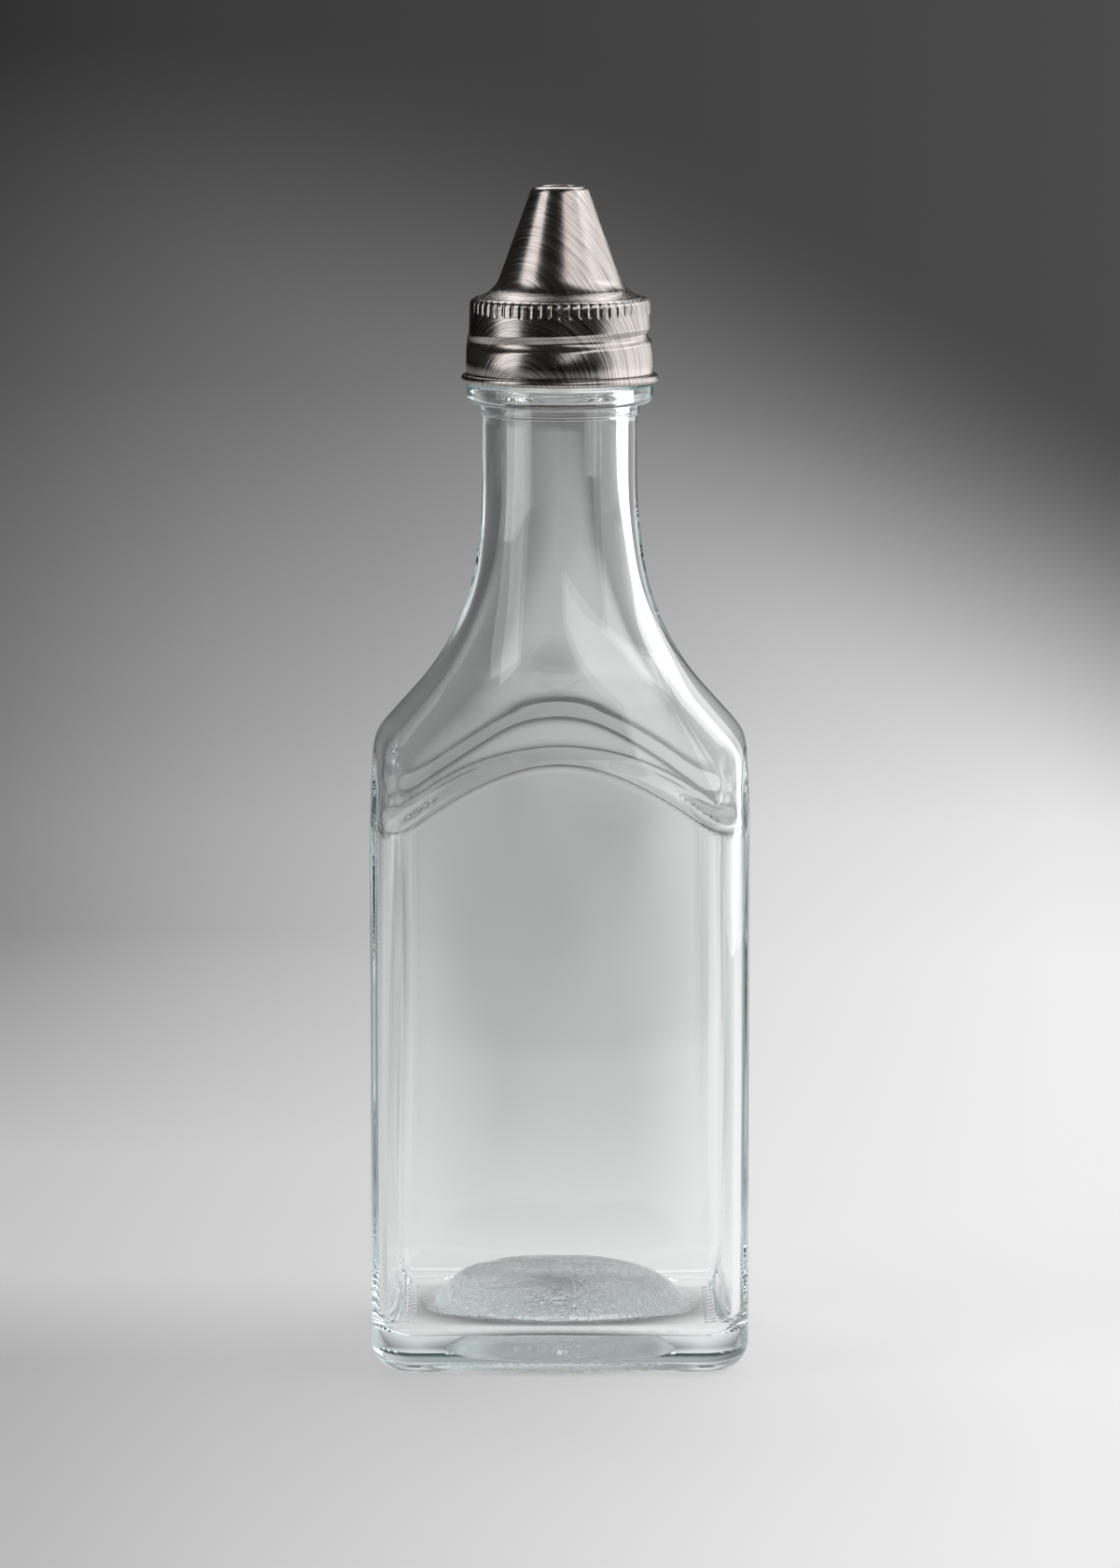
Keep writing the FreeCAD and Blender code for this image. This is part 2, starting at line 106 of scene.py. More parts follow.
def walk(bends: list[Bend]) -> np.ndarray:
    """Follows an outline's straight runs and rounded corners.

    Args:
        bends: the outline's corners, its two ends among them.

    Returns:
        The points on the way, one row each, as distance out and height.
    """
    corners = [np.array((bend.out, bend.up)) for bend in bends]
    points: list[np.ndarray] = []
    start = corners[0]
    for before, bend, last, corner, after in zip(
        bends, bends[1:], corners, corners[1:], corners[2:]
    ):
        inward, outward = unit(corner - last), unit(after - corner)
        turn = math.acos(float(np.clip(inward @ outward, -1, 1)))
        reach = bend.rounding * math.tan(turn / 2)
        entry, leave = corner - inward * reach, corner + outward * reach
        points += spaced(start, entry, before.run)
        if reach > 0:
            toward = unit(outward - inward)
            centre = corner + toward * bend.rounding / math.cos(turn / 2)
            count = max(2, math.ceil(bend.rounding * turn / bend.curve))
            x, y = entry - centre
            side = math.copysign(1, inward[0] * outward[1] - inward[1] * outward[0])
            for k in range(count):
                angle = side * turn * k / count
                cosine, sine = math.cos(angle), math.sin(angle)
                points.append(centre + (x * cosine - y * sine, x * sine + y * cosine))
        start = leave
    points += spaced(start, corners[-1], bends[-2].run)
    points.append(corners[-1])
    return np.array(points)


def arc(centre: Span, radius: float, start: float, end: float, step: float) -> np.ndarray:
    """Points round part of a circle.

    Args:
        centre: distance out and height of its centre.
        radius: its radius.
        start: angle of the first point, in degrees.
        end: angle of the last point, in degrees.
        step: spacing of the points, in millimetres.

    Returns:
        The points, one row each.
    """
    count = max(2, math.ceil(abs(math.radians(end - start)) * radius / step))
    angles = np.radians(np.linspace(start, end, count + 1))
    return np.stack((centre[0] + radius * np.cos(angles), centre[1] + radius * np.sin(angles)), 1)


def soft_min(first: np.ndarray, second: np.ndarray, softness: np.ndarray) -> np.ndarray:
    """The smaller of two, rounded off where they are nearly the same."""
    near = np.clip(softness - np.abs(first - second), 0, None) / softness
    return np.minimum(first, second) - near**3 * softness / 6


def ease(value: np.ndarray | float, start: float, end: float) -> np.ndarray:
    """Rises smoothly from 0 at start to 1 at end."""
    share = np.clip((value - start) / (end - start), 0, 1)
    return share * share * (3 - 2 * share)


# ---------------------------------------------------------------- turned pieces


def turn_outline(name: str, points: np.ndarray, steps: int, closed: bool) -> bpy.types.Object:
    """Draws an outline point by point and spins it about the upright axis.

    Args:
        name: name of the piece.
        points: the outline, one row each, as distance out and height.
        steps: how many copies of the outline make the full turn.
        closed: whether the outline's last point joins its first.

    Returns:
        The turned piece, in metres, with each vertex's place on the outline
        kept in an attribute named station.
    """
    bpy.ops.object.select_all(action="DESELECT")
    bpy.ops.mesh.primitive_plane_add(size=MM)
    piece = bpy.context.object
    piece.name = piece.data.name = name
    bpy.ops.object.mode_set(mode="EDIT")
    bpy.ops.mesh.select_all(action="SELECT")
    bpy.ops.mesh.merge(type="CENTER")
    bpy.ops.transform.translate(value=(points[0][0] * MM, 0, points[0][1] * MM))
    for start, end in zip(points, points[1:]):
        step = (end - start) * MM
        bpy.ops.mesh.extrude_region_move(TRANSFORM_OT_translate={"value": (step[0], 0, step[1])})
    bpy.ops.object.mode_set(mode="OBJECT")
    stations = piece.data.attributes.new("station", "INT", "POINT")
    stations.data.foreach_set("value", np.arange(len(points), dtype=np.int32))
    bpy.ops.object.mode_set(mode="EDIT")
    bpy.ops.mesh.select_all(action="SELECT")
    if closed:
        bpy.ops.mesh.edge_face_add()
        bpy.ops.mesh.delete(type="ONLY_FACE")
        bpy.ops.mesh.select_all(action="SELECT")
    bpy.ops.mesh.spin(
        steps=steps, angle=FULL_TURN, center=(0, 0, 0), axis=(0, 0, 1), use_auto_merge=True
    )
    bpy.ops.mesh.select_all(action="SELECT")
    bpy.ops.mesh.remove_doubles(threshold=1e-7)
    bpy.ops.object.mode_set(mode="OBJECT")
    return piece


def read_turned(piece: bpy.types.Object, steps: int) -> tuple[np.ndarray, np.ndarray]:
    """Finds where each vertex of a turned piece is.

    Args:
        piece: the turned piece.
        steps: how many copies of the outline make the full turn.

    Returns:
        Each vertex's place on the outline, and its number round the ring.
    """
    place = read_points(piece)
    index = np.rint(np.arctan2(place[:, 1], place[:, 0]) / FULL_TURN * steps)
    station = np.zeros(len(place), np.int32)
    piece.data.attributes["station"].data.foreach_get("value", station)
    return station, index.astype(int) % steps


def read_points(piece: bpy.types.Object) -> np.ndarray:
    """Reads a piece's shape.

    Args:
        piece: the piece.

    Returns:
        Its vertices in millimetres, one row each.
    """
    points = np.zeros(len(piece.data.vertices) * 3, np.float32)
    piece.data.vertices.foreach_get("co", points)
    return points.reshape(-1, 3).astype(float) / MM


def finish_shape(piece: bpy.types.Object, points: np.ndarray) -> None:
    """Moves the vertices, closes the poles and smooths the shading.

    Args:
        piece: the turned piece.
        points: where its vertices go, in millimetres, one row each.
    """
    piece.data.vertices.foreach_set("co", (points * MM).astype(np.float32).ravel())
    piece.data.update()
    bpy.ops.object.select_all(action="DESELECT")
    piece.select_set(True)
    bpy.context.view_layer.objects.active = piece
    bpy.ops.object.mode_set(mode="EDIT")
    bpy.ops.mesh.select_all(action="SELECT")
    bpy.ops.mesh.remove_doubles(threshold=1e-6)
    bpy.ops.mesh.normals_make_consistent(inside=False)
    bpy.ops.object.mode_set(mode="OBJECT")
    bpy.ops.object.shade_smooth()


# ---------------------------------------------------------------- materials


class Nodes:
    """A material's or the world's node tree, with short ways to fill it."""

    def __init__(self, tree: bpy.types.NodeTree) -> None:
        """Takes the tree as it is."""
        self.tree = tree

    def add(self, kind: str, **settings: object) -> bpy.types.Node:
        """Adds a node.

        Args:
            kind: the node's type.
            settings: its properties, and its inputs' values by socket name.

        Returns:
            The node.
        """
        node = self.tree.nodes.new(kind)
        for key, value in settings.items():
            if hasattr(node, key):
                setattr(node, key, value)
            else:
                node.inputs[key].default_value = value
        return node

    def join(self, source: Socket, target: Socket) -> None:
        """Links an output to an input."""
        self.tree.links.new(source, target)

    def math(self, operation: str, *values: Socket | float, clamp: bool = False) -> Socket:
        """Adds a Math node.

        Args:
            operation: what it does.
            values: its inputs, each a number or another node's output.
            clamp: whether the result stays from 0 to 1.

        Returns:
            Its output.
        """
        node = self.add("ShaderNodeMath", operation=operation, use_clamp=clamp)
        for socket, value in zip(node.inputs, values):
            if isinstance(value, Socket):
                self.join(value, socket)
            else:
                socket.default_value = value
        return node.outputs[0]

    def times(self, first: Socket | float, *others: Socket | float) -> Socket:
        """Multiplies values.

        Args:
            first: a number or another node's output.
            others: what it is multiplied by, one after the other.

        Returns:
            The product.
        """
        for other in others:
            first = self.math("MULTIPLY", first, other)
        return first

    def rest(self, value: Socket) -> Socket:
        """What the value lacks to one."""
        return self.math("SUBTRACT", 1.0, value)

    def ramp(self, value: Socket, span: Span, low: float, high: float) -> Socket:
        """Maps a value smoothly from one range to another.

        Args:
            value: what is mapped.
            span: where the result starts and stops changing.
            low: the result up to the span's start.
            high: the result from its end on.

        Returns:
            The mapped value.
        """
        node = self.add("ShaderNodeMapRange", interpolation_type="SMOOTHSTEP")
        for socket, number in zip(node.inputs[1:5], (*span, low, high)):
            socket.default_value = number
        self.join(value, node.inputs["Value"])
        return node.outputs["Result"]

    def greys(self, value: Socket, stops: tuple[Span, ...]) -> Socket:
        """Maps a value from 0 to 1 to greys.

        Args:
            value: what is mapped.
            stops: places on the ramp and their greys.

        Returns:
            The grey.
        """
        node = self.add("ShaderNodeValToRGB")
        self.join(value, node.inputs["Fac"])
        ramp = node.color_ramp
        while len(ramp.elements) < len(stops):
            ramp.elements.new(0.5)
        for element, (place, grey) in zip(ramp.elements, stops):
            element.position = place
            element.color = (grey, grey, grey, 1)
        return node.outputs["Color"]

    def blend(self, share: Socket, first: Colour, second: Colour) -> Socket:
        """Mixes two colours.

        Args:
            share: share of the second, from 0 to 1.
            first: the colour at 0.
            second: the colour at 1.

        Returns:
            The mixed colour.
        """
        node = self.add("ShaderNodeMix", data_type="RGBA")
        node.inputs[MIX_FIRST].default_value = (*first, 1)
        node.inputs[MIX_SECOND].default_value = (*second, 1)
        self.join(share, node.inputs[MIX_SHARE])
        return node.outputs[MIX_RESULT]

    def noise(
        self, place: Socket, scale: float, detail: float, roughness: float, dimensions: str = "3D"
    ) -> Socket:
        """Adds a noise.

        Args:
            place: where it is looked up.
            scale: how fine it is.
            detail: how many finer layers it has.
            roughness: how strong these are.
            dimensions: 2D on a UV map, 3D in the piece.

        Returns:
            Its value, from 0 to 1.
        """
        node = self.add("ShaderNodeTexNoise", noise_dimensions=dimensions)
        self.join(place, node.inputs["Vector"])
        for name, value in (("Scale", scale), ("Detail", detail), ("Roughness", roughness)):
            node.inputs[name].default_value = value
        return node.outputs["Fac"]

    def bump(self, height: Socket, depth: float, normal: Socket | None = None) -> Socket:
        """Adds a relief.

        Args:
            height: its height, from 0 to 1.
            depth: how deep it is, in metres.
            normal: the relief under it, if there is one.

        Returns:
            The surface's direction with the relief.
        """
        node = self.add("ShaderNodeBump", Distance=depth, Strength=1.0)
        self.join(height, node.inputs["Height"])
        if normal is not None:
            self.join(normal, node.inputs["Normal"])
        return node.outputs["Normal"]

    def split(self, vector: Socket) -> list[Socket]:
        """Takes a vector apart.

        Args:
            vector: the vector.

        Returns:
            Its X, Y and Z.
        """
        node = self.add("ShaderNodeSeparateXYZ")
        self.join(vector, node.inputs[0])
        return list(node.outputs)

    def from_axis(self, place: Socket) -> Socket:
        """Measures how far a place is from the upright axis.

        Args:
            place: the place.

        Returns:
            Its distance, in metres.
        """
        flat = self.add("ShaderNodeVectorMath", operation="MULTIPLY")
        flat.inputs[1].default_value = (1, 1, 0)
        self.join(place, flat.inputs[0])
        length = self.add("ShaderNodeVectorMath", operation="LENGTH")
        self.join(flat.outputs[0], length.inputs[0])
        return length.outputs["Value"]


class Blank(NamedTuple):
    """A new material, its nodes, and its Principled shader and output among them."""

    material: bpy.types.Material
    nodes: Nodes
    shader: bpy.types.Node
    output: bpy.types.Node


def new_material(name: str) -> Blank:
    """Makes a material with one Principled shader on its output.

    Args:
        name: the material's name.

    Returns:
        The material and its parts.
    """
    material = bpy.data.materials.new(name)
    material.use_nodes = True
    material.node_tree.nodes.clear()
    nodes = Nodes(material.node_tree)
    shader = nodes.add("ShaderNodeBsdfPrincipled")
    output = nodes.add("ShaderNodeOutputMaterial")
    nodes.join(shader.outputs["BSDF"], output.inputs["Surface"])
    return Blank(material, nodes, shader, output)


@dataclass(frozen=True)
class ClearGlass:
    """Moulded soda-lime glass: clear, faintly teal where it is thick, its punt darkened with painted
    shade.

    Attributes:
        tint: colour that deep glass lets through.
        density: how strongly it tints, per metre.
        index: how strongly it bends light.
        ripple: depth of the slow ripple of its surface, in metres.
        ripple_scale: how fine the ripple is.
        stipple: depth of the stipple on the floor's dome, in metres.
        stipple_scale: how fine the stipple is.
        punt_stipple: share of the stipple's depth on the punt.
        punt_roughness: roughness of the punt, which is ground.
        punt_painted_shade: painted shade, the darker colour that the punt lets through.
        dome_top: heights over which the stipple fades, in metres.
        dome_edge: distances from the axis over which it fades.
        punt_top: heights over which the punt gives way to the dome.
    """

    tint: Colour = (0.84, 0.94, 0.94)
    density: float = 19.0
    index: float = 1.5
    ripple: float = 0.00002
    ripple_scale: float = 55.0
    stipple: float = 0.0006
    stipple_scale: float = 1250.0
    punt_stipple: float = 0.25
    punt_roughness: float = 0.22
    # Painted shade: darkens the light through the punt, standing in for the shade under the bottle.
    punt_painted_shade: Colour = (0.55, 0.59, 0.6)
    dome_top: Span = (0.0125, 0.0145)
    dome_edge: Span = (0.0212, 0.0228)
    punt_top: Span = (0.0046, 0.0052)

    def material(self) -> bpy.types.Material:
        """Builds the glass.

        Returns:
            The material.
        """
        material, nodes, shader, output = new_material("clear_glass_finish")
        shader.inputs["Transmission Weight"].default_value = 1.0
        shader.inputs["Roughness"].default_value = 0.0
        shader.inputs["IOR"].default_value = self.index
        place = nodes.add("ShaderNodeTexCoord").outputs["Object"]
        height = nodes.split(place)[2]
        base = nodes.times(
            nodes.ramp(height, self.dome_top, 1.0, 0.0),
            nodes.ramp(nodes.from_axis(place), self.dome_edge, 1.0, 0.0),
        )
        punt = nodes.times(base, nodes.ramp(height, self.punt_top, 1.0, 0.0))
        # Painted shade: the punt's base colour is darkened, standing in for the shade under the bottle.
        nodes.join(nodes.blend(punt, WHITE, self.punt_painted_shade), shader.inputs["Base Color"])
        nodes.join(nodes.times(punt, self.punt_roughness), shader.inputs["Roughness"])
        slow = nodes.bump(nodes.noise(place, self.ripple_scale, 1.0, 0.4), self.ripple)
        depth = nodes.times(base, nodes.ramp(height, self.punt_top, self.punt_stipple, 1.0))
        dots = nodes.times(nodes.noise(place, self.stipple_scale, 1.0, 0.5), depth)
        nodes.join(nodes.bump(dots, self.stipple, slow), shader.inputs["Normal"])
        deep = nodes.add("ShaderNodeVolumeAbsorption", Density=self.density)
        deep.inputs["Color"].default_value = (*self.tint, 1)
        nodes.join(deep.outputs["Volume"], output.inputs["Volume"])
        return material


class BrushLines(NamedTuple):
    """One set of brush lines: how fine across and along, and how strong."""

    across: float
    along: float
    detail: float
    roughness: float
    weight: float


@dataclass(frozen=True)
class BrushedSteel:
    """Pressed stainless steel with fine brush lines in wide arcs.

    Attributes:
        colour: the metal's own colour.
        shades: how much darker and lighter than it the lines are.
        shade_span: values of the lines between which the shade changes.
        roughness: how dull it is between the lines.
        dullness: how much less and more dull the lines are.
        dull_span: values of the lines between which the dullness changes.
        line_depth: depth of the brush lines, in metres.
        lines: the fine and the wide lines.
    """

    colour: Colour = (0.43, 0.393, 0.372)
    shades: Span = (0.66, 1.3)
    shade_span: Span = (0.36, 0.64)
    roughness: float = 0.2
    dullness: Span = (0.75, 1.4)
    dull_span: Span = (0.25, 0.75)
    line_depth: float = 0.00003
    lines: tuple[BrushLines, BrushLines] = (
        BrushLines(6800.0, 110.0, 3.0, 0.6, 0.65),
        BrushLines(2900.0, 60.0, 2.0, 0.5, 0.35),
    )

    def material(self) -> bpy.types.Material:
        """Builds the steel.

        Returns:
            The material.
        """
        material, nodes, shader, _ = new_material("brushed_steel_finish")
        shader.inputs["Metallic"].default_value = 1.0
        brush = nodes.add("ShaderNodeUVMap", uv_map="brush").outputs["UV"]
        layers = []
        for line in self.lines:
            stretch = nodes.add("ShaderNodeMapping", Scale=(line.across, line.along, 1.0))
            nodes.join(brush, stretch.inputs["Vector"])
            place = stretch.outputs["Vector"]
            layer = nodes.noise(place, 1.0, line.detail, line.roughness, "2D")
            layers.append(nodes.times(layer, line.weight))
        lines = nodes.math("ADD", *layers)
        dark, light = (tuple(value * shade for value in self.colour) for shade in self.shades)
        shade = nodes.blend(nodes.ramp(lines, self.shade_span, 0.0, 1.0), dark, light)
        low, high = (self.roughness * share for share in self.dullness)
        nodes.join(shade, shader.inputs["Base Color"])
        nodes.join(nodes.ramp(lines, self.dull_span, low, high), shader.inputs["Roughness"])
        nodes.join(nodes.bump(lines, self.line_depth), shader.inputs["Normal"])
        return material


# ---------------------------------------------------------------- bottle

CUT = 2.0


class Ring(NamedTuple):
    """One ring of the bottle, in millimetres.

    Attributes:
        out: radius of the turned shape.
        up: height.
        half: half of the square's width.
        corner: radius of the square's corners.
        square: share of the square in the ring, or CUT where it cuts the turned shape.
        even: share of even spacing round the ring.
    """

    out: float
    up: float
    half: float
    corner: float
    square: float
    even: float


@dataclass
class GlassBottle:
    """The square bottle with arched shoulders and a round neck, in millimetres."""

    half: float = 30.0
    corner: float = 7.2
    heel: float = 5.0
    heel_angles: tuple[float, ...] = (0, 9, 18, 25.84, 34, 43, 52, 61, 70, 80, 90)
    arch_softness: float = 3.2
    back_softness: float = 0.8
    back_start: Span = (0.2, 0.8)
    wall: float = 2.4
    wall_foot: float = 2.5
    floor: float = 6.0
    cavity_corner: float = 4.6
    cavity_heel: float = 4.4
    cavity_softness: float = 1.3
    dome_radius: float = 20.6
    dome_height: float = 6.0
    dome_fullness: float = 6.0
    dome_rings: int = 25
    dome_rim_corner: float = 0.15
    knurl_pitch: float = 3.0
    knurl_count: int = 13
    knurl_height: float = 0.7
    knurl_reach: float = 23.3
    knurl_margin: float = 0.1
    land_reach: float = 24.2
    punt_radius: float = 20.5
    punt_depth: float = 3.8
    punt_fullness: float = 4.0
    punt_rings: int = 19
    ripple_height: float = 0.16
    ripple_edge: Span = (15.0, 19.5)
    neck_radius: float = 12.35
    neck_wall: float = 2.85
    neck_foot: float = 135.5
    throat_drop: float = 19.43
    throat_angle: float = 7.5
    throat_sweep: float = 90.0
    shoulder_angle: float = 42.0
    shoulder_sweep: float = 40.0
    even_drop: float = 10.0
    ring_foot: float = 152.35
    ring_height: float = 3.0
    ring_radius: float = 14.85
    ring_sweep: float = 1.3
    ring_rounding: float = 0.4
    collar_radius: float = 12.7
    collar_height: float = 1.85
    collar_rounding: float = 0.3
    finish_radius: float = 12.55
    finish_foot: float = 157.0
    finish_margin: float = 0.02
    lip: float = 169.05
    lip_rounding: float = 0.7
    lip_depth: float = 4.0
    thread_height: float = 1.25
    thread_start: float = 163.8
    thread_pitch: float = 3.175
    thread_rise: Span = (0.0, 0.05)
    thread_fall: Span = (1.1, 1.16)
    thread_flank: Span = (0.3, 0.85)
    belly: float = 0.6
    belly_foot: float = 6.0
    belly_length: float = 82.0
    wave_height: float = 0.14
    wave_foot: Span = (10.0, 25.0)
    wave_top: Span = (120.0, 150.0)
    side_steps: int = 61
    corner_steps: int = 11

    def __post_init__(self) -> None:
        """Works out what follows from the sizes."""
        self.blank = self.half * 1.5
        self.steps = 4 * (self.side_steps + self.corner_steps)
        self.inside_half = self.half - self.wall
        self.bore = self.neck_radius - self.neck_wall
        self.throat_foot = self.neck_foot - self.throat_drop
        lean = math.tan(math.radians(self.throat_angle))
        self.throat = self.neck_radius + self.throat_drop * lean

    def foot(self) -> list[Ring]:
        """Lays out the punt, the flat foot and the heel.

        Returns:
            Their rings, from the axis outwards.
        """
        rings = []
        for out in np.linspace(0, self.punt_radius, self.punt_rings):
            rise = self.punt_depth * (1 - (out / self.punt_radius) ** self.punt_fullness)
            rings.append(Ring(out, rise, self.half, self.corner, 0, 1))
        reach = self.half - self.corner
        start = self.knurl_reach - self.knurl_margin
        for share in (0.35, 0.7, 1.0):
            out = self.punt_radius + share
            rings.append(Ring(out, 0, start, start - reach, share, 1 - share))
        for half in (self.knurl_reach, self.land_reach):
            rings.append(Ring(half, 0, half, half - reach, 1, 0))
        inset = self.half - self.heel
        for angle in np.radians(self.heel_angles):
            half = inset + self.heel * math.sin(angle)
            rise = self.heel * (1 - math.cos(angle))
            rings.append(Ring(half, rise, half, half - reach, 1, 0))
        return rings

    def shoulder_foot(self, throat: float, throat_foot: float) -> float:
        """Height at which the shoulder's cone, carried on downwards, meets the blank."""
        return throat_foot - (self.blank - throat) / math.tan(math.radians(self.shoulder_angle))

    def outside(self) -> list[Bend]:
        """Lays out the outside before it is squared off.

        Returns:
            The outline's corners from the heel up to the lip.
        """
        shoulder_foot = self.shoulder_foot(self.throat, self.throat_foot)
        collar_foot = self.ring_foot - self.collar_height
        ring_top = self.ring_foot + self.ring_height
        return [
            Bend(self.blank, self.heel + self.wall_foot, run=3.2),
            Bend(self.blank, shoulder_foot, run=0.82),
            Bend(self.throat, self.throat_foot, self.shoulder_sweep, 1.3, 1.2),
            Bend(self.neck_radius, self.neck_foot, self.throat_sweep, 1.8, 1.5),
            Bend(self.neck_radius, collar_foot, self.collar_rounding, 0.3, 0.12),
            Bend(self.collar_radius, collar_foot + 0.25, self.collar_rounding, 0.5, 0.12),
            Bend(self.collar_radius, self.ring_foot, 0.35, 0.5, 0.12),
            Bend(self.ring_radius, self.ring_foot, self.ring_sweep, 0.5, 0.25),
            Bend(self.ring_radius, ring_top, self.ring_rounding, 0.6, 0.16),
            Bend(self.finish_radius, ring_top, self.ring_rounding, 0.6, 0.2),
            Bend(self.finish_radius, self.lip, self.lip_rounding, 0.8, 0.25),
            Bend(self.bore, self.lip, self.lip_rounding, 2.0, 0.25),
            Bend(self.bore, self.lip - self.lip_depth),
        ]

    def inside(self) -> list[Bend]:
        """Lays out the cavity before it is squared off.

        Returns:
            The outline's corners from the bore down to the cavity's heel.
        """
        mean = math.radians((self.throat_angle + self.shoulder_angle) / 2)
        half_turn = math.radians(self.shoulder_angle - self.throat_angle) / 2
        spread = self.neck_wall / math.cos(half_turn)
        throat = self.throat - spread * math.cos(mean)
        throat_foot = self.throat_foot - spread * math.sin(mean)
        neck_foot = self.neck_foot - self.neck_wall * math.tan(math.radians(self.throat_angle) / 2)
        return [
            Bend(self.bore, self.lip - self.lip_depth, run=2.6),
            Bend(self.bore, neck_foot, self.throat_sweep + self.neck_wall, 1.6, 1.8),
            Bend(throat, throat_foot, self.shoulder_sweep + self.neck_wall, 0.9, 1.4),
            Bend(self.blank, self.shoulder_foot(throat, throat_foot), run=3.4),
            Bend(self.blank, self.floor + self.cavity_heel),
        ]

    def cavity_floor(self) -> list[Ring]:
        """Lays out the cavity's heel and its domed floor.

        Returns:
            Their rings, in to the axis.
        """
        rings = []
        reach = self.inside_half - self.cavity_corner
        inset = self.inside_half - self.cavity_heel
        for angle in np.radians(np.linspace(9, 90, 10)):
            half = inset + self.cavity_heel * math.cos(angle)
            rise = self.floor + self.cavity_heel - self.cavity_heel * math.sin(angle)
            rings.append(Ring(half, rise, half, half - reach, 1, 0))
        for share in (0.7, 0.4, 0.15):
            out = self.dome_radius + share * (inset - self.dome_radius)
            rings.append(Ring(out, self.floor, out, out * self.dome_rim_corner, share, 1 - share))
        for out in np.linspace(self.dome_radius, 0, self.dome_rings):
            rise = self.dome_height * (1 - (out / self.dome_radius) ** self.dome_fullness)
            rings.append(Ring(out, self.floor + rise, self.half, self.corner, 0, 1))
        return rings

    def squared(self, points: np.ndarray, half: float, corner: float) -> list[Ring]:
        """Lays out rings that the square cuts.

        Args:
            points: the turned outline, as distance out and height.
            half: half of the square's width.
            corner: radius of its corners.

        Returns:
            A ring for each point, spaced more evenly the nearer it is to the neck.
        """
        start = self.throat_foot - self.even_drop
        return [
            Ring(out, up, half, corner, CUT, float(ease(up, start, self.neck_foot)))
            for out, up in points
        ]

    def side_places(self) -> np.ndarray:
        """Spaces the points along one side of the square.

        Returns:
            Their places, closest together at the knurls.
        """
        reach = self.half - self.corner
        edge = self.knurl_pitch * (self.knurl_count / 2) + self.knurl_pitch / 8
        margin = np.linspace(-reach, -edge, 5)[:-1]
        knurls = np.linspace(-edge, edge, self.side_steps - 7)
        return np.concatenate((margin, knurls, -margin[::-1]))

    def square_angles(self, half: np.ndarray, corner: np.ndarray, index: np.ndarray) -> np.ndarray:
        """Spaces points along a rounded square.

        Args:
            half: half of its width, for each point.
            corner: radius of its corners, for each point.
            index: number of each point round the ring.

        Returns:
            Each point's angle about the axis.
        """
        quarter, step = np.divmod(index, self.side_steps + self.corner_steps)
        reach = half - corner
        side = np.clip(step, 0, self.side_steps)
        along = self.side_places()[side] * reach / (self.half - self.corner)
        round_angle = np.clip(step - self.side_steps, 0, None) / self.corner_steps * QUARTER_TURN
        on_corner = step > self.side_steps
        across = np.where(on_corner, reach + corner * np.cos(round_angle), half)
        along = np.where(on_corner, reach + corner * np.sin(round_angle), along)
        return np.arctan2(along, across) + quarter * QUARTER_TURN

    @staticmethod
    def square_reach(half: np.ndarray, corner: np.ndarray, angle: np.ndarray) -> np.ndarray:
        """Measures a rounded square from its centre.

        Args:
            half: half of its width, for each point.
            corner: radius of its corners, for each point.
            angle: each point's angle about the axis.

        Returns:
            How far it reaches at each angle.
        """
        folded = np.abs((angle + QUARTER_TURN / 2) % QUARTER_TURN - QUARTER_TURN / 2)
        reach = half - corner
        under = np.clip(corner**2 - reach**2 * (1 - np.sin(2 * folded)), 0, None)
        round_part = reach * (np.cos(folded) + np.sin(folded)) + np.sqrt(under)
        return np.where(half * np.tan(folded) <= reach, half / np.cos(folded), round_part)

    def knurl(self, along: np.ndarray) -> np.ndarray:
        """Cuts notches between the ridges under the foot.

        Args:
            along: place along a side.

        Returns:
            How much of a notch there is, from 0 to 1.
        """
        edge = self.knurl_pitch * (self.knurl_count + 1) / 2
        phase = np.abs((along + edge) / self.knurl_pitch % 1 - 0.5) * 2
        notch = np.clip((phase - 0.25) / 0.5, 0, 1)
        return np.where(np.abs(along) < edge - self.knurl_pitch * 0.3, notch, 0)

    def thread(self, angle: np.ndarray, up: np.ndarray) -> np.ndarray:
        """Winds the thread round the finish.

        Args:
            angle: each point's angle about the axis.
            up: its height.

        Returns:
            How far the thread stands out there.
        """
        total = np.zeros_like(up)
        base = (angle / FULL_TURN + 0.5) % 1
        for turn in (0, 1):
            along = base + turn
            off = np.abs(up - self.thread_start - self.thread_pitch * along)
            ends = ease(along, *self.thread_rise) * (1 - ease(along, *self.thread_fall))
            ridge = 1 - ease(off, *self.thread_flank)
            total = np.maximum(total, ridge * ends * self.thread_height)
        return total

    def bulge(self, up: np.ndarray, along: np.ndarray) -> np.ndarray:
        """Lets a face swell between its edges, as blown glass does.

        Args:
            up: each point's height.
            along: its place along its side.

        Returns:
            How far the face stands out of its square there.
        """
        height = np.clip((up - self.belly_foot) / self.belly_length, 0, 1)
        across = np.clip(1 - (along / (self.half - self.corner + 1)) ** 2, 0, None)
        return self.belly * np.sin(math.pi * height) ** 1.3 * across**1.2

    def waves(self, angle: np.ndarray, up: np.ndarray) -> np.ndarray:
        """Makes the wall's inner surface uneven with a few waves that climb round it.

        Args:
            angle: each point's angle about the axis.
            up: its height.

        Returns:
            How far the surface is moved out there.
        """
        wave = (
            0.5 * np.sin(3 * angle + up / 17 + 0.7)
            + 0.35 * np.sin(5 * angle - up / 11 + 2.1)
            + 0.25 * np.sin(9 * angle + up / 8)
        )
        return self.wave_height * wave

